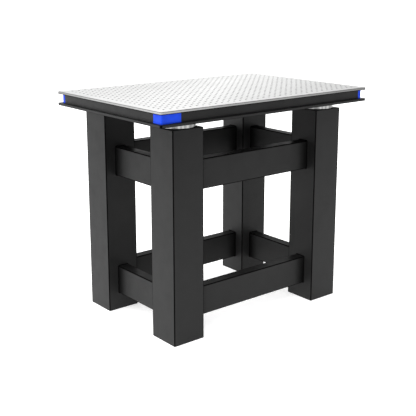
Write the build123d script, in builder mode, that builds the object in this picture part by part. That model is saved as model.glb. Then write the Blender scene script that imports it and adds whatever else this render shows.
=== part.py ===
import os

from build123d import *

# Optical table in millimetres: a breadboard top with a grid of tapped holes, on
# four round supports that stand on a welded frame of square and flat tube.
# X runs along the long side, Y along the short side and Z up from the floor.
# The front is the -Y side and the left is the -X side.

# Table top
top_length = 900
top_width = 600
top_corner_radius = 6
top_skin_thickness = 9
bottom_skin_thickness = 9
side_height = 30
side_thickness = 6
side_setback = 13
skin_edge_chamfer = 0.8

# Hole grid in the top skin, tapped M6
hole_pitch = 25
hole_radius = 2.5
pattern_spacing = 3 * hole_pitch
pattern_centres = (-300, 0, 300)

# Corner posts of the top, and the plate wrapped round the front left one
corner_post_size = 15
corner_post_radius = 3
wrap_plate_thickness = 1.5
wrap_plate_length = 70
wrap_plate_width = 40

# Frame of welded tube
leg_size = 120
leg_wall = 5
leg_corner_radius = 3
leg_height = 700
frame_length = 740
frame_width = 500
end_plate_thickness = 10
leg_rim_chamfer = 1.2
beam_height = 100
beam_thickness = 40
beam_wall = 3
beam_corner_radius = 3
lower_beam_height = 60
upper_beam_height = 488

# Round supports between the legs and the top
pad_diameter = 118
pad_thickness = 1
support_diameter = 120
support_height = 21.5
support_chamfer = 1.2

# Sizes that follow from the ones above
leg_x = (frame_length - leg_size) / 2
leg_y = (frame_width - leg_size) / 2
leg_bore = leg_size - 2 * leg_wall
front_beam_length = frame_length - 2 * leg_size
side_beam_length = frame_width - 2 * leg_size
underside = leg_height + pad_thickness + support_height
side_bottom = underside + bottom_skin_thickness
side_top = side_bottom + side_height
box_length = top_length - 2 * side_setback
box_width = top_width - 2 * side_setback
core_length = box_length - 2 * side_thickness
core_width = box_width - 2 * side_thickness

# Legs by name, with the side of the centre that each stands on
corners = {
    "front_left": (-1, -1),
    "front_right": (1, -1),
    "rear_left": (-1, 1),
    "rear_right": (1, 1),
}
levels = {"lower": lower_beam_height, "upper": upper_beam_height}


def save(part, name):
    """Label a finished piece and write it as a file of its own."""
    part.label = name
    export_step(part, f"parts/{name}.step")


def make_leg(name, x, y):
    """Square tube from the floor to the support, with the edge of its top rim broken."""
    with BuildPart() as leg:
        with BuildSketch(Plane((x, y, 0))):
            RectangleRounded(leg_size, leg_size, leg_corner_radius)
            Rectangle(leg_bore, leg_bore, mode=Mode.SUBTRACT)
        extrude(amount=leg_height)
        rim = leg.faces().sort_by(Axis.Z)[-1].outer_wire()
        chamfer(rim.edges(), length=leg_rim_chamfer)
    save(leg.part, name)


def make_end_plate(name, x, y, level):
    """Steel plate that closes one end of a leg, flush with the tube's mouth."""
    with BuildPart() as plate:
        with BuildSketch(Plane((x, y, level))):
            Rectangle(leg_bore, leg_bore)
        extrude(amount=end_plate_thickness)
    save(plate.part, name)


def make_beam(name, start, length):
    """Flat tube on edge, run out from the plane of the leg face it is welded to."""
    with BuildPart() as beam:
        with BuildSketch(start):
            RectangleRounded(beam_thickness, beam_height, beam_corner_radius)
            Rectangle(beam_thickness - 2 * beam_wall, beam_height - 2 * beam_wall, mode=Mode.SUBTRACT)
        extrude(amount=length)
    save(beam.part, name)


def make_support_pad(name, x, y):
    """Thin rubber disc between the leg and its support."""
    with BuildPart() as pad:
        with BuildSketch(Plane((x, y, leg_height))):
            Circle(pad_diameter / 2)
        extrude(amount=pad_thickness)
    save(pad.part, name)


def make_support(name, x, y):
    """Turned metal drum, revolved from half its section, its lower edge broken."""
    radius = support_diameter / 2
    base = leg_height + pad_thickness
    with BuildPart() as support:
        with BuildSketch(Plane(origin=(x, y, base), x_dir=(1, 0, 0), z_dir=(0, -1, 0))):
            with BuildLine():
                Polyline(
                    (0, 0),
                    (radius - support_chamfer, 0),
                    (radius, support_chamfer),
                    (radius, support_height),
                    (0, support_height),
                    close=True,
                )
            make_face()
        revolve(axis=Axis((x, y, 0), (0, 0, 1)))
    save(support.part, name)


def make_side(name, start, length):
    """Folded side panel of the top, run along one edge of the core."""
    with BuildPart() as side:
        with BuildSketch(start):
            Rectangle(side_thickness, side_height)
        extrude(amount=length)
    save(side.part, name)


os.makedirs("parts", exist_ok=True)

# Frame and supports
for corner, (side_x, side_y) in corners.items():
    centre_x = side_x * leg_x
    centre_y = side_y * leg_y
    make_leg(f"leg_{corner}", centre_x, centre_y)
    make_end_plate(f"leg_foot_plate_{corner}", centre_x, centre_y, 0)
    make_end_plate(f"leg_head_plate_{corner}", centre_x, centre_y, leg_height - end_plate_thickness)
    make_support_pad(f"support_pad_{corner}", centre_x, centre_y)
    make_support(f"support_{corner}", centre_x, centre_y)

for level, bottom in levels.items():
    middle = bottom + beam_height / 2
    for side_name, side_y in (("front", -1), ("rear", 1)):
        start = Plane(origin=(-front_beam_length / 2, side_y * leg_y, middle), x_dir=(0, 1, 0), z_dir=(1, 0, 0))
        make_beam(f"beam_{side_name}_{level}", start, front_beam_length)
    for side_name, side_x in (("left", -1), ("right", 1)):
        start = Plane(origin=(side_x * leg_x, side_beam_length / 2, middle), x_dir=(1, 0, 0), z_dir=(0, -1, 0))
        make_beam(f"beam_{side_name}_{level}", start, side_beam_length)

# Bottom skin
with BuildPart() as bottom_skin:
    with BuildSketch(Plane.XY.offset(underside)):
        RectangleRounded(top_length, top_width, top_corner_radius)
    extrude(amount=bottom_skin_thickness)
    chamfer(bottom_skin.faces().sort_by(Axis.Z)[0].edges(), length=skin_edge_chamfer)
save(bottom_skin.part, "bottom_skin")

# Top skin with three squares of tapped holes from its grid
with BuildPart() as top_skin:
    with BuildSketch(Plane.XY.offset(side_top)):
        RectangleRounded(top_length, top_width, top_corner_radius)
        for centre in pattern_centres:
            with Locations((centre, 0)):
                with GridLocations(pattern_spacing, pattern_spacing, 2, 2):
                    Circle(hole_radius, mode=Mode.SUBTRACT)
    extrude(amount=top_skin_thickness)
    rim = top_skin.faces().sort_by(Axis.Z)[-1].outer_wire()
    chamfer(rim.edges(), length=skin_edge_chamfer)
save(top_skin.part, "top_skin")

# Core between the skins, notched at its corners for the posts
with BuildPart() as core:
    with BuildSketch(Plane.XY.offset(side_bottom)):
        Rectangle(core_length, core_width)
        with GridLocations(box_length - corner_post_size, box_width - corner_post_size, 2, 2):
            Rectangle(corner_post_size, corner_post_size, mode=Mode.SUBTRACT)
    extrude(amount=side_height)
save(core.part, "honeycomb_core")

# Side panels between the corner posts
side_middle = side_bottom + side_height / 2
long_run = box_length - 2 * corner_post_size
short_run = box_width - 2 * corner_post_size
for side_name, side_y in (("front", -1), ("rear", 1)):
    panel_y = side_y * (box_width - side_thickness) / 2
    start = Plane(origin=(-long_run / 2, panel_y, side_middle), x_dir=(0, 1, 0), z_dir=(1, 0, 0))
    make_side(f"side_panel_{side_name}", start, long_run)
for side_name, side_x in (("left", -1), ("right", 1)):
    panel_x = side_x * (box_length - side_thickness) / 2
    start = Plane(origin=(panel_x, short_run / 2, side_middle), x_dir=(1, 0, 0), z_dir=(0, -1, 0))
    make_side(f"side_panel_{side_name}", start, short_run)

# Corner posts, each with its outer upright edge rounded
for corner, (side_x, side_y) in corners.items():
    post_x = side_x * (box_length - corner_post_size) / 2
    post_y = side_y * (box_width - corner_post_size) / 2
    with BuildPart() as post:
        with BuildSketch(Plane((post_x, post_y, side_bottom))):
            Rectangle(corner_post_size, corner_post_size)
        extrude(amount=side_height)
        outward = Axis((0, 0, 0), (side_x, side_y, 0))
        fillet(post.edges().filter_by(Axis.Z).sort_by(outward)[-1], radius=corner_post_radius)
    save(post.part, f"corner_post_{corner}")

# Plate wrapped round the front left post, bent from one strip
wrap_x = -box_length / 2
wrap_y = -box_width / 2
with BuildPart() as wrap_plate:
    with BuildSketch(Plane.XY.offset(side_bottom)):
        with BuildLine() as bend:
            FilletPolyline(
                (wrap_x, wrap_y + wrap_plate_width),
                (wrap_x, wrap_y),
                (wrap_x + wrap_plate_length, wrap_y),
                radius=corner_post_radius,
            )
            offset(amount=wrap_plate_thickness, side=Side.RIGHT)
        make_face()
    extrude(amount=side_height)
save(wrap_plate.part, "corner_wrap_plate")
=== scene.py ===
import math

import bmesh
import bpy
from mathutils import Matrix, Vector


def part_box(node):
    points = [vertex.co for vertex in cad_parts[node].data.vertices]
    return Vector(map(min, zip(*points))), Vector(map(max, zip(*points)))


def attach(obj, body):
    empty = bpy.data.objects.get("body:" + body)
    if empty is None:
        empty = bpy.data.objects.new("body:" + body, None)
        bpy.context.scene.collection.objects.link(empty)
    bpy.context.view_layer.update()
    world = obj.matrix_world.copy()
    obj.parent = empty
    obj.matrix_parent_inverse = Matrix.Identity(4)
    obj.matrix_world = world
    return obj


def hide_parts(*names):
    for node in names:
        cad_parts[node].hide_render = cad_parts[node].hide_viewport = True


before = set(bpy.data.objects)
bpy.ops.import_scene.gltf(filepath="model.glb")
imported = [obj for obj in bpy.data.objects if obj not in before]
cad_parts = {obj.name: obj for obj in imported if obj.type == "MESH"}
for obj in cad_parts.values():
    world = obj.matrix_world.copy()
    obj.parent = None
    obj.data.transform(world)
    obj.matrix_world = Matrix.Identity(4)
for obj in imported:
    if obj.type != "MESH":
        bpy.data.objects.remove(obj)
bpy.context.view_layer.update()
print("frame loaded")

mm = 0.001
hair = 0.001 * mm        # places closer than this are the same
flat = 0.995             # a face whose normal has more than this along one axis is square to it
upright = 0.05           # a face whose normal has less than this along Z stands upright
noiseRange = (0.3, 0.7)  # most of a noise's values lie in here
cornerNames = ("front_left", "front_right", "rear_left", "rear_right")
levelNames = ("lower", "upper")


def boxOf(node):
    low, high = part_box(node)
    return Vector(low), Vector(high)


# middle of a box's underside
def footOf(low, high):
    return Vector(((low.x + high.x) / 2, (low.y + high.y) / 2, low.z))


# Camera at the photograph's angle

cameraPlan = {
    "lens": 72.17,
    "sensor": 36.0,
    "shiftY": -0.0962,
    "turn": math.radians(39.2),      # round from the front towards the left
    "tilt": math.radians(12.85),     # looking down
    "distance": 2.9659,              # from the point that it looks at
    "aside": 0.0227,                 # how far that point is to the left of the middle
    "aimHeight": 0.4888,
}


def placeCamera(plan):
    ahead = Vector((
        math.sin(plan["turn"]) * math.cos(plan["tilt"]),
        math.cos(plan["turn"]) * math.cos(plan["tilt"]),
        -math.sin(plan["tilt"]),
    ))
    right = Vector((math.cos(plan["turn"]), -math.sin(plan["turn"]), 0))
    up = right.cross(ahead)
    data = bpy.data.cameras.new("camera")
    data.lens = plan["lens"]
    data.sensor_width = plan["sensor"]
    data.shift_y = plan["shiftY"]
    camera = bpy.data.objects.new("camera", data)
    bpy.context.collection.objects.link(camera)
    place = Vector((0, 0, plan["aimHeight"])) - right * plan["aside"] - ahead * plan["distance"]
    camera.matrix_world = Matrix((
        (right.x, up.x, -ahead.x, place.x),
        (right.y, up.y, -ahead.y, place.y),
        (right.z, up.z, -ahead.z, place.z),
        (0, 0, 0, 1),
    ))
    bpy.context.scene.camera = camera


placeCamera(cameraPlan)

# Studio light: a pale sky that is brighter at the left rear, and one soft lamp

lightPlan = {
    "skyDark": 0.53,
    "skyBright": 3.42,
    "brightSide": (-0.77, 0.64, 0),
    "lamp": 0.3,
    "lampSpread": math.radians(60),
    "lampPlace": (-2.2, 0.9, 3.0),
}


def lightStudio(plan):
    world = bpy.data.worlds.new("studio")
    bpy.context.scene.world = world
    world.use_nodes = True
    nodes = world.node_tree.nodes
    links = world.node_tree.links
    background = nodes["Background"]
    background.inputs["Color"].default_value = (1, 1, 1, 1)
    place = nodes.new("ShaderNodeTexCoord")
    facing = nodes.new("ShaderNodeVectorMath")
    facing.operation = "DOT_PRODUCT"
    facing.inputs[1].default_value = plan["brightSide"]
    fade = nodes.new("ShaderNodeMapRange")
    fade.inputs["From Min"].default_value = -1
    fade.inputs["From Max"].default_value = 1
    fade.inputs["To Min"].default_value = plan["skyDark"]
    fade.inputs["To Max"].default_value = plan["skyBright"]
    links.new(place.outputs["Generated"], facing.inputs[0])
    links.new(facing.outputs["Value"], fade.inputs["Value"])
    links.new(fade.outputs["Result"], background.inputs["Strength"])
    lampData = bpy.data.lights.new("softLamp", "SUN")
    lampData.energy = plan["lamp"]
    lampData.angle = plan["lampSpread"]
    lamp = bpy.data.objects.new("softLamp", lampData)
    lamp.rotation_euler = Vector(plan["lampPlace"]).to_track_quat("Z", "Y").to_euler()
    bpy.context.collection.objects.link(lamp)


lightStudio(lightPlan)
bpy.context.scene.view_settings.view_transform = "Standard"
print("camera and light set")


# Materials: a noise is a scale and a detail, a bump is a strength and a height

def startMaterial(name, colour, metallic=0.0, roughness=0.5, specular=0.5):
    material = bpy.data.materials.new(name)
    material.use_nodes = True
    shader = material.node_tree.nodes["Principled BSDF"]
    shader.inputs["Base Color"].default_value = (*colour, 1)
    shader.inputs["Metallic"].default_value = metallic
    shader.inputs["Roughness"].default_value = roughness
    shader.inputs["Specular IOR Level"].default_value = specular
    return material, shader


def addNoise(material, scale, detail, stretch=(1, 1, 1), centre=(0, 0, 0)):
    nodes = material.node_tree.nodes
    links = material.node_tree.links
    place = nodes.new("ShaderNodeTexCoord")
    mapping = nodes.new("ShaderNodeMapping")
    mapping.inputs["Scale"].default_value = stretch
    mapping.inputs["Location"].default_value = [-c * s for c, s in zip(centre, stretch)]
    noise = nodes.new("ShaderNodeTexNoise")
    noise.inputs["Scale"].default_value = scale
    noise.inputs["Detail"].default_value = detail
    links.new(place.outputs["Object"], mapping.inputs["Vector"])
    links.new(mapping.outputs["Vector"], noise.inputs["Vector"])
    return noise.outputs["Fac"]


# stretches the values of a range over the ones from low to high
def spread(material, value, low, high, fromRange=noiseRange):
    ranged = material.node_tree.nodes.new("ShaderNodeMapRange")
    ranged.inputs["From Min"].default_value = fromRange[0]
    ranged.inputs["From Max"].default_value = fromRange[1]
    ranged.inputs["To Min"].default_value = low
    ranged.inputs["To Max"].default_value = high
    material.node_tree.links.new(value, ranged.inputs["Value"])
    return ranged.outputs["Result"]


def tint(material, shader, noise, plan):
    ramp = material.node_tree.nodes.new("ShaderNodeValToRGB")
    for stop, position, colour in zip(ramp.color_ramp.elements, noiseRange, (plan["dark"], plan["light"])):
        stop.position = position
        stop.color = (*colour, 1)
    material.node_tree.links.new(noise, ramp.inputs["Fac"])
    material.node_tree.links.new(ramp.outputs["Color"], shader.inputs["Base Color"])


def roughen(material, shader, noise, plan):
    rough = spread(material, noise, *plan["roughness"])
    material.node_tree.links.new(rough, shader.inputs["Roughness"])


# fades the colour over to another one between two distances from the origin along one axis
def fadeTo(material, shader, colour, start, full, axis="Z"):
    nodes = material.node_tree.nodes
    links = material.node_tree.links
    place = nodes.new("ShaderNodeTexCoord")
    parts = nodes.new("ShaderNodeSeparateXYZ")
    away = nodes.new("ShaderNodeMath")
    away.operation = "ABSOLUTE"
    links.new(place.outputs["Object"], parts.inputs["Vector"])
    links.new(parts.outputs[axis], away.inputs[0])
    amount = spread(material, away.outputs["Value"], 0, 1, (start, full))
    mixed = nodes.new("ShaderNodeMix")
    mixed.data_type = "RGBA"
    mixed.inputs["B"].default_value = (*colour, 1)
    under = shader.inputs["Base Color"].links[0].from_socket
    links.new(amount, mixed.inputs["Factor"])
    links.new(under, mixed.inputs["A"])
    links.new(mixed.outputs["Result"], shader.inputs["Base Color"])


# heights is one socket, or several that are summed
def addBump(material, shader, heights, strength, distance):
    nodes = material.node_tree.nodes
    links = material.node_tree.links
    total = heights[0]
    for height in heights[1:]:
        joined = nodes.new("ShaderNodeMath")
        joined.operation = "ADD"
        links.new(total, joined.inputs[0])
        links.new(height, joined.inputs[1])
        total = joined.outputs["Value"]
    bump = nodes.new("ShaderNodeBump")
    bump.inputs["Strength"].default_value = strength
    bump.inputs["Distance"].default_value = distance
    links.new(total, bump.inputs["Height"])
    links.new(bump.outputs["Normal"], shader.inputs["Normal"])


# paint, plastic and rubber: a cloudy colour, a patchy gloss and a fine grain
def coatedSurface(name, plan):
    material, shader = startMaterial(name, plan["dark"], specular=plan["specular"])
    tint(material, shader, addNoise(material, *plan["cloud"]), plan)
    # painted light: the colour grows lighter towards the floor
    if "paintedFloorLight" in plan:
        fadeTo(material, shader, plan["paintedFloorLight"], plan["paintedFloorLightHeight"], 0)
    roughen(material, shader, addNoise(material, *plan["gloss"]), plan)
    addBump(material, shader, [addNoise(material, *plan["grain"])], *plan["bump"])
    return material


# black powder coat of the frame, with painted light making it lighter towards the floor
coatPlan = {
    "dark": (0.0042, 0.0042, 0.0043),
    "light": (0.0060, 0.0060, 0.0061),
    "cloud": (5.0, 4.0),
    "paintedFloorLight": (0.0155, 0.0155, 0.0155),
    "paintedFloorLightHeight": 0.75,
    "specular": 0.125,
    "roughness": (0.40, 0.50),
    "gloss": (26.0, 3.0),
    "grain": (700, 2.0),
    "bump": (0.35, 0.06 * mm),
}
# settled dust takes the shine off faces that look up; their painted light towards the floor is weaker
ledgePlan = {**coatPlan, "specular": 0.012, "paintedFloorLight": (0.011, 0.011, 0.011)}
# painted shade: rounded edges are near black and have no shine, so they read as dark lines
edgePlan = {
    **coatPlan,
    "dark": (0.0012, 0.0012, 0.0012),
    "light": (0.0022, 0.0022, 0.0022),
    "paintedFloorLight": (0.003, 0.003, 0.003),
    "specular": 0.0,
}
panelPlan = {
    **coatPlan,
    "dark": (0.0060, 0.0060, 0.0061),
    "light": (0.0082, 0.0082, 0.0083),
    "paintedFloorLight": (0.0105, 0.0105, 0.0106),
    "specular": 0.14,
    "roughness": (0.42, 0.52),
    "grain": (1100, 2.0),
}
frameCoat = coatedSurface("frameCoat", coatPlan)
frameLedge = coatedSurface("frameLedge", ledgePlan)
paintedEdgeShade = coatedSurface("paintedEdgeShade", edgePlan)
panelCoat = coatedSurface("panelCoat", panelPlan)

# blue plastic of the corner posts and the plate
plasticPlan = {
    "dark": (0.006, 0.042, 0.50),
    "light": (0.010, 0.054, 0.60),
    "cloud": (30.0, 3.0),
    "specular": 0.07,
    "roughness": (0.36, 0.46),
    "gloss": (80.0, 2.0),
    "grain": (2200.0, 1.0),
    "bump": (0.2, 0.03 * mm),
}
cornerPlastic = coatedSurface("cornerPlastic", plasticPlan)

# rubber of the pads under the supports
rubberPlan = {
    "dark": (0.006, 0.006, 0.006),
    "light": (0.012, 0.012, 0.012),
    "cloud": (60.0, 4.0),
    "specular": 0.3,
    "roughness": (0.7, 0.85),
    "gloss": (300.0, 2.0),
    "grain": (1800.0, 2.0),
    "bump": (0.3, 0.05 * mm),
}
supportRubber = coatedSurface("supportRubber", rubberPlan)

# steel of the top, ground lengthwise
steelPlan = {
    "dark": (0.357, 0.357, 0.354),
    "light": (0.405, 0.405, 0.402),
    "cloud": (9.0, 5.0),
    "paintedReflectionFade": 0.56,                 # share of its brightness that the steel keeps there
    "scratches": (90.0, 4.0),
    "scratchStretch": (0.25, 14, 14),
    "roughness": (0.30, 0.44),
    "grain": (1500.0, 1.0),
    "bump": (0.12, 0.05 * mm),
}
# painted shade: the top's broken upper rim is near black, so it reads as a dark line
rimShadeTones = {"dark": (0.008, 0.008, 0.008), "light": (0.015, 0.015, 0.015)}
sideTones = {"dark": (0.26, 0.26, 0.258), "light": (0.30, 0.30, 0.298)}
coreTones = {"dark": (0.10, 0.10, 0.10), "light": (0.16, 0.16, 0.16)}


# painted reflection: the top's colour is brightest along its middle and darker towards the front right and
# the rear left
def paintedReflectionFade(material, shader, least):
    low, high = boxOf("top_skin")
    nodes = material.node_tree.nodes
    links = material.node_tree.links
    place = nodes.new("ShaderNodeTexCoord")
    across = nodes.new("ShaderNodeVectorMath")
    across.operation = "DOT_PRODUCT"
    across.inputs[1].default_value = (0.5 / high.x, -0.5 / high.y, 0)    # -1 and 1 at the darkest painted corners
    links.new(place.outputs["Object"], across.inputs[0])
    far = nodes.new("ShaderNodeMath")
    far.operation = "ABSOLUTE"
    links.new(across.outputs["Value"], far.inputs[0])
    scaled = nodes.new("ShaderNodeVectorMath")
    scaled.operation = "SCALE"
    links.new(shader.inputs["Base Color"].links[0].from_socket, scaled.inputs[0])
    links.new(spread(material, far.outputs["Value"], 1, least, (0, 1)), scaled.inputs["Scale"])
    links.new(scaled.outputs["Vector"], shader.inputs["Base Color"])


def groundSteel(name, plan):
    material, shader = startMaterial(name, plan["light"], metallic=1.0)
    tint(material, shader, addNoise(material, *plan["cloud"]), plan)
    paintedReflectionFade(material, shader, plan["paintedReflectionFade"])
    scratches = addNoise(material, *plan["scratches"], stretch=plan["scratchStretch"])
    roughen(material, shader, scratches, plan)
    addBump(material, shader, [scratches, addNoise(material, *plan["grain"])], *plan["bump"])
    return material


topSteel = groundSteel("topSteel", steelPlan)
steelEdge = groundSteel("steelEdge", {**steelPlan, **rimShadeTones})
steelSide = groundSteel("steelSide", {**steelPlan, **sideTones})
coreSteel = groundSteel("coreSteel", {**steelPlan, **coreTones})

# turned metal of the supports
drumPlan = {
    "dark": (0.10, 0.10, 0.10),
    "light": (0.36, 0.36, 0.355),
    # painted reflection: light and dark streaks from top to bottom stand for the studio reflected in the
    # round drum
    "paintedReflectionStreaks": (110.0, 3.0),
    "paintedStreakStretch": (1, 1, 0.05),       # long from top to bottom
    "latheMarks": (1.0, 2.0),
    "latheStretch": (4, 4, 2600),
    "roughness": (0.24, 0.38),
    "bump": (0.2, 0.04 * mm),
}


# lathe marks run round the drum, so they change with height
def turnedMetal(name, plan, centre):
    material, shader = startMaterial(name, plan["light"], metallic=1.0)
    # painted reflection streaks in the colour
    paintedReflectionStreaks = addNoise(material, *plan["paintedReflectionStreaks"], plan["paintedStreakStretch"], centre)
    tint(material, shader, paintedReflectionStreaks, plan)
    latheMarks = addNoise(material, *plan["latheMarks"], plan["latheStretch"], centre)
    roughen(material, shader, latheMarks, plan)
    addBump(material, shader, [latheMarks], *plan["bump"])
    return material


print("materials made")


# Making pieces

sharpAngle = math.radians(35)      # sharper bends than this stay crisp
edgeSteps = 2                      # faces across a broken edge


# the second material of a piece goes on its rounded edges; on the frame it is the painted edge shade
def paintEdges(face):
    return int(max(abs(part) for part in face.normal) < flat)


def makePiece(name, mesh, materials, stoodFor=(), paint=paintEdges):
    bmesh.ops.recalc_face_normals(mesh, faces=mesh.faces[:])
    mesh.normal_update()
    if len(materials) > 1:
        for face in mesh.faces:
            face.material_index = paint(face)
    data = bpy.data.meshes.new(name)
    mesh.to_mesh(data)
    mesh.free()
    data.polygons.foreach_set("use_smooth", [True] * len(data.polygons))
    data.set_sharp_from_angle(angle=sharpAngle)
    for material in materials:
        data.materials.append(material)
    piece = bpy.data.objects.new(name, data)
    bpy.context.collection.objects.link(piece)
    flatter = piece.modifiers.new("flatFaces", "WEIGHTED_NORMAL")
    flatter.keep_sharp = True
    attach(piece, "root")
    if stoodFor:
        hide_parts(*stoodFor)


# the verts that an operator made
def newVerts(made):
    return [item for item in made["geom"] if isinstance(item, bmesh.types.BMVert)]


# the edges that an operator made between its new verts
def newEdges(made):
    verts = newVerts(made)
    edges = [item for item in made["geom"] if isinstance(item, bmesh.types.BMEdge)]
    return [edge for edge in edges if all(vert in verts for vert in edge.verts)]


def openEdges(mesh):
    return [edge for edge in mesh.edges if edge.is_boundary]


# edges at this height between a level face and an upright one that looks outwards
def outerRim(mesh, height):
    found = []
    for edge in mesh.edges:
        if len(edge.link_faces) != 2 or any(abs(v.co.z - height) > hair for v in edge.verts):
            continue
        walls = [face.normal for face in edge.link_faces if abs(face.normal.z) < upright]
        middle = (edge.verts[0].co + edge.verts[1].co) / 2
        if len(walls) == 1 and walls[0].dot(Vector((middle.x, middle.y, 0))) > 0:
            found.append(edge)
    return found


def roundOff(mesh, geom, size, segments=edgeSteps, affect="EDGES"):
    bmesh.ops.bevel(mesh, geom=geom, offset=size, offset_type="OFFSET", affect=affect,
                    segments=segments, profile=0.5, material=-1)


# one flat face round the origin
def addRectangle(mesh, width, depth):
    corners = bmesh.ops.create_grid(mesh, x_segments=1, y_segments=1, size=0.5)["verts"]
    bmesh.ops.scale(mesh, vec=(width, depth, 1), verts=corners)
    return corners


def addRoundedFace(mesh, width, depth, radius, segments):
    corners = addRectangle(mesh, width, depth)
    roundOff(mesh, corners, radius, segments, "VERTICES")
    return mesh.faces[:][-1]


# rectangular tube along +Z from the origin, its bore left square
def makeTube(mesh, width, depth, length, plan):
    addRoundedFace(mesh, width, depth, plan["radius"], plan["segments"])
    addRectangle(mesh, width - 2 * plan["wall"], depth - 2 * plan["wall"])
    bmesh.ops.delete(mesh, geom=mesh.faces[:], context="FACES_ONLY")
    ring = bmesh.ops.bridge_loops(mesh, edges=mesh.edges[:])["faces"]
    grown = bmesh.ops.extrude_face_region(mesh, geom=ring)
    bmesh.ops.translate(mesh, verts=newVerts(grown), vec=(0, 0, length))
    bmesh.ops.recalc_face_normals(mesh, faces=mesh.faces[:])


# Legs

legPlan = {
    "wall": 5 * mm,
    "radius": 3 * mm,
    "segments": 6,
    "rim": 1.2 * mm,
    "rimSteps": 3,
    "foot": 0.8 * mm,
}


def makeLeg(corner, plan):
    low, high = boxOf(f"leg_{corner}")
    size = high - low
    mesh = bmesh.new()
    makeTube(mesh, size.x, size.y, size.z, plan)
    roundOff(mesh, outerRim(mesh, size.z), plan["rim"], plan["rimSteps"])
    roundOff(mesh, outerRim(mesh, 0), plan["foot"])
    bmesh.ops.translate(mesh, verts=mesh.verts[:], vec=footOf(low, high))
    makePiece(f"legTube_{corner}", mesh, [frameCoat, paintedEdgeShade], [f"leg_{corner}"])


for corner in cornerNames:
    makeLeg(corner, legPlan)
print("legs made")

# Beams, each with a weld bead round both ends and painted shade darkening it towards the legs

beamPlan = {"wall": 3 * mm, "radius": 3 * mm, "segments": 6, "bead": 2.5 * mm}
paintedShadePlan = {"colour": (0.001, 0.001, 0.001), "reach": 45 * mm}


# painted shade: each beam darkens towards its ends, where it meets the legs
def makeBeamCoat(axis, end, plan):
    material = coatedSurface(f"beamCoat{axis}", coatPlan)
    shader = material.node_tree.nodes["Principled BSDF"]
    fadeTo(material, shader, plan["colour"], end - plan["reach"], end, axis)
    return material


beamCoats = {
    "X": makeBeamCoat("X", boxOf("beam_front_lower")[1].x, paintedShadePlan),
    "Y": makeBeamCoat("Y", boxOf("beam_left_lower")[1].y, paintedShadePlan),
}


# 0 sides, 1 rounded edges, 2 the face that looks up
def paintBeam(face):
    return 2 if face.normal.z > flat else paintEdges(face)


# sloped ring round the tube's outline, from the leg's face up to the tube's side
def makeBead(mesh, width, depth, plan):
    size = plan["bead"]
    face = addRoundedFace(mesh, width + 2 * size, depth + 2 * size, plan["radius"] + size, plan["segments"])
    bmesh.ops.inset_region(mesh, faces=[face], thickness=size, depth=size, use_even_offset=True,
                           use_boundary=True)
    bmesh.ops.delete(mesh, geom=[face], context="FACES_ONLY")


def makeBeam(side, level, plan):
    low, high = boxOf(f"beam_{side}_{level}")
    size = high - low
    start = (low + high) / 2
    # the tube is made along +Z, its height along Y, and then laid down along the beam
    if side in ("front", "rear"):
        axis, length, thickness = "X", size.x, size.y
        start.x = low.x
        turned = Matrix(((0, 0, 1), (1, 0, 0), (0, 1, 0)))
    else:
        axis, length, thickness = "Y", size.y, size.x
        start.y = high.y
        turned = Matrix(((1, 0, 0), (0, 0, -1), (0, 1, 0)))
    laid = Matrix.Translation(start) @ turned.to_4x4()
    tube = bmesh.new()
    makeTube(tube, thickness, size.z, length, plan)
    bmesh.ops.transform(tube, matrix=laid, verts=tube.verts[:])
    finishes = [beamCoats[axis], paintedEdgeShade, frameLedge]
    stoodFor = [f"beam_{side}_{level}"]
    makePiece(f"beamTube_{side}_{level}", tube, finishes, stoodFor, paintBeam)
    bead = bmesh.new()
    makeBead(bead, thickness, size.z, plan)
    farEnd = newVerts(bmesh.ops.duplicate(bead, geom=bead.verts[:] + bead.edges[:] + bead.faces[:]))
    bmesh.ops.scale(bead, vec=(1, 1, -1), verts=farEnd)
    bmesh.ops.translate(bead, verts=farEnd, vec=(0, 0, length))
    bmesh.ops.transform(bead, matrix=laid, verts=bead.verts[:])
    # the weld beads take the painted edge shade, so they read as dark seams
    makePiece(f"weldBeads_{side}_{level}", bead, [paintedEdgeShade])


for level in levelNames:
    for side in ("front", "rear", "left", "right"):
        makeBeam(side, level, beamPlan)
print("beams made")

# Round supports

supportPlan = {"chamfer": 1.2 * mm, "steps": 120}


def makeSupport(corner, plan):
    low, high = boxOf(f"support_{corner}")
    radius = (high.x - low.x) / 2
    height = high.z - low.z
    centre = footOf(low, high)
    outline = (
        (0, 0),
        (radius - plan["chamfer"], 0),
        (radius, plan["chamfer"]),
        (radius, height),
        (0, height),
    )
    mesh = bmesh.new()
    points = [mesh.verts.new((r, 0, z)) for r, z in outline]
    edges = [mesh.edges.new(pair) for pair in zip(points, points[1:])]
    bmesh.ops.spin(mesh, geom=points + edges, cent=(0, 0, 0), axis=(0, 0, 1), dvec=(0, 0, 0),
                   angle=2 * math.pi, steps=plan["steps"], use_merge=True)
    bmesh.ops.remove_doubles(mesh, verts=mesh.verts[:], dist=hair)
    bmesh.ops.translate(mesh, verts=mesh.verts[:], vec=centre)
    metal = turnedMetal(f"turnedMetal_{corner}", drumPlan, centre)
    makePiece(f"supportDrum_{corner}", mesh, [metal], [f"support_{corner}"])


for corner in cornerNames:
    makeSupport(corner, supportPlan)
print("supports made")

# Skins of the top

skinPlan = {"radius": 6 * mm, "segments": 6, "edge": 0.8 * mm}


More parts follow.
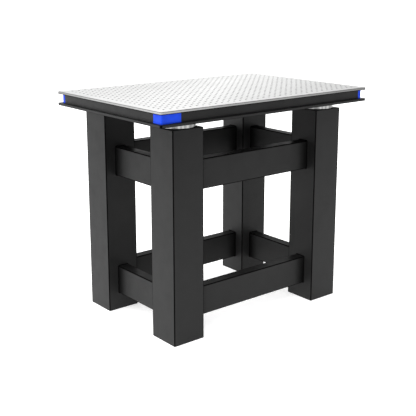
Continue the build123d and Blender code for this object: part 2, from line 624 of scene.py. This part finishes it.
def makeBottomSkin(plan):
    low, high = boxOf("bottom_skin")
    size = high - low
    mesh = bmesh.new()
    face = addRoundedFace(mesh, size.x, size.y, plan["radius"], plan["segments"])
    grown = bmesh.ops.extrude_face_region(mesh, geom=[face])
    bmesh.ops.translate(mesh, verts=newVerts(grown), vec=(0, 0, size.z))
    bmesh.ops.recalc_face_normals(mesh, faces=mesh.faces[:])
    roundOff(mesh, outerRim(mesh, size.z), plan["edge"])
    roundOff(mesh, outerRim(mesh, 0), plan["edge"])
    bmesh.ops.translate(mesh, verts=mesh.verts[:], vec=(0, 0, low.z))
    makePiece("bottomSkin", mesh, [panelCoat, paintedEdgeShade], ["bottom_skin"])


makeBottomSkin(skinPlan)

gridPlan = {
    "pitch": 25 * mm,
    "margin": 37.5 * mm,     # from the skin's edge to the first row
    "mouth": 3.9 * mm,       # radius of the countersink at the surface
    "bore": 2.5 * mm,        # radius of the hole
    "sink": 0.9 * mm,
    "depth": 8.4 * mm,
    "sides": 12,
    "twist": math.radians(15),
    "cuts": 2,               # the square's border gets as many edges as the hole has sides
    "edge": 1.2 * mm,
    "paintedShadeStrip": 2.2 * mm,         # painted shade: dark strip along the foot of the skin's side
}


# a square of the skin with one countersunk hole in its middle
def makeHoleCell(mesh, plan):
    addRectangle(mesh, plan["pitch"], plan["pitch"])
    bmesh.ops.subdivide_edges(mesh, edges=mesh.edges[:], cuts=plan["cuts"])
    bmesh.ops.delete(mesh, geom=mesh.faces[:], context="FACES_ONLY")
    border = mesh.edges[:]
    turned = Matrix.Rotation(plan["twist"], 4, "Z")
    bmesh.ops.create_circle(mesh, cap_ends=False, segments=plan["sides"], radius=plan["mouth"], matrix=turned)
    mouth = [edge for edge in mesh.edges if edge not in border]
    bmesh.ops.bridge_loops(mesh, edges=border + mouth)
    sunk = bmesh.ops.extrude_edge_only(mesh, edges=mouth)
    shrink = plan["bore"] / plan["mouth"]
    bmesh.ops.scale(mesh, vec=(shrink, shrink, 1), verts=newVerts(sunk))
    bmesh.ops.translate(mesh, verts=newVerts(sunk), vec=(0, 0, -plan["sink"]))
    bored = bmesh.ops.extrude_edge_only(mesh, edges=newEdges(sunk))
    bmesh.ops.translate(mesh, verts=newVerts(bored), vec=(0, 0, plan["sink"] - plan["depth"]))
    bmesh.ops.contextual_create(mesh, geom=newEdges(bored))
    # faces below the surface, the holes, get painted shade
    for face in mesh.faces:
        face.material_index = int(any(v.co.z < -hair for v in face.verts))


# 0 ground face, 1 broken upper rim (painted shade), 2 upright side, 3 holes, strip and lower rim (all painted
# shade)
def paintTopSkin(face):
    if face.material_index or face.normal.z < -upright:
        return 3
    if face.normal.z < upright:
        return 2
    return int(face.normal.z < flat)


def repeatAlong(mesh, count, step):
    cell = mesh.verts[:] + mesh.edges[:] + mesh.faces[:]
    for index in range(1, count):
        copied = bmesh.ops.duplicate(mesh, geom=cell)
        bmesh.ops.translate(mesh, verts=newVerts(copied), vec=step * index)


# grows the mesh down from its open edges
def dropRim(mesh, depth):
    dropped = bmesh.ops.extrude_edge_only(mesh, edges=openEdges(mesh))
    bmesh.ops.translate(mesh, verts=newVerts(dropped), vec=(0, 0, -depth))
    return [item for item in dropped["geom"] if isinstance(item, bmesh.types.BMFace)]


# an upright edge at one of the corners of a plate this long and wide
def isCornerEdge(edge, length, width):
    first, second = (v.co for v in edge.verts)
    return abs(first.z - second.z) > hair and all(
        abs(abs(co.x) - length / 2) < hair and abs(abs(co.y) - width / 2) < hair for co in (first, second))


def makeTopSkin(plan, skin):
    low, high = boxOf("top_skin")
    size = high - low
    pitch = plan["pitch"]
    along = round((size.x - 2 * plan["margin"]) / pitch) + 1
    across = round((size.y - 2 * plan["margin"]) / pitch) + 1
    mesh = bmesh.new()
    makeHoleCell(mesh, plan)
    repeatAlong(mesh, along, Vector((pitch, 0, 0)))
    repeatAlong(mesh, across, Vector((0, pitch, 0)))
    bmesh.ops.remove_doubles(mesh, verts=mesh.verts[:], dist=hair)
    corner = Vector((-pitch * (along - 1) / 2, -pitch * (across - 1) / 2, 0))
    bmesh.ops.translate(mesh, verts=mesh.verts[:], vec=corner)
    # plain border out to the skin's edge, then its side and the painted shade strip
    border = bmesh.ops.extrude_edge_only(mesh, edges=openEdges(mesh))
    outwards = (size.x / (pitch * along), size.y / (pitch * across), 1)
    bmesh.ops.scale(mesh, vec=outwards, verts=newVerts(border))
    dropRim(mesh, size.z - plan["paintedShadeStrip"])
    for face in dropRim(mesh, plan["paintedShadeStrip"]):
        face.material_index = 1
    corners = [edge for edge in mesh.edges if isCornerEdge(edge, size.x, size.y)]
    roundOff(mesh, corners, skin["radius"], skin["segments"])
    bmesh.ops.contextual_create(mesh, geom=openEdges(mesh))
    bmesh.ops.recalc_face_normals(mesh, faces=mesh.faces[:])
    roundOff(mesh, outerRim(mesh, 0), plan["edge"])
    roundOff(mesh, outerRim(mesh, -size.z), skin["edge"])
    bmesh.ops.translate(mesh, verts=mesh.verts[:], vec=(0, 0, high.z))
    finishes = [topSteel, steelEdge, steelSide, paintedEdgeShade]
    makePiece("topSkinGrid", mesh, finishes, ["top_skin"], paintTopSkin)
    print("top skin holes", along * across)


makeTopSkin(gridPlan, skinPlan)
print("skins made")

# Pieces of the frame that keep their own shape

keptFinishes = {
    "leg_head_plate": frameCoat,
    "leg_foot_plate": frameCoat,
    "support_pad": supportRubber,
    "corner_post": cornerPlastic,
    "corner_wrap_plate": cornerPlastic,
    "side_panel": panelCoat,
    "honeycomb_core": coreSteel,
}

for nodeName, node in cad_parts.items():
    for start, material in keptFinishes.items():
        if nodeName.startswith(start):
            for place in node.material_slots:
                place.material = material
print("kept pieces finished")

# Floor, lit a little from within like a studio's light table

floorPlan = {
    "size": 120.0,
    "colour": (0.72, 0.72, 0.72),
    "roughness": 0.8,
    "specular": 0.2,
    "glow": 0.55,
}


def layFloor(plan):
    mesh = bmesh.new()
    addRectangle(mesh, plan["size"], plan["size"])
    data = bpy.data.meshes.new("floor")
    mesh.to_mesh(data)
    mesh.free()
    paint, shader = startMaterial("floorPaint", plan["colour"], roughness=plan["roughness"],
                                  specular=plan["specular"])
    shader.inputs["Emission Color"].default_value = (1, 1, 1, 1)
    shader.inputs["Emission Strength"].default_value = plan["glow"]
    data.materials.append(paint)
    floor = bpy.data.objects.new("floor", data)
    bpy.context.collection.objects.link(floor)
    return floor


floor = layFloor(floorPlan)

print("scene ready")
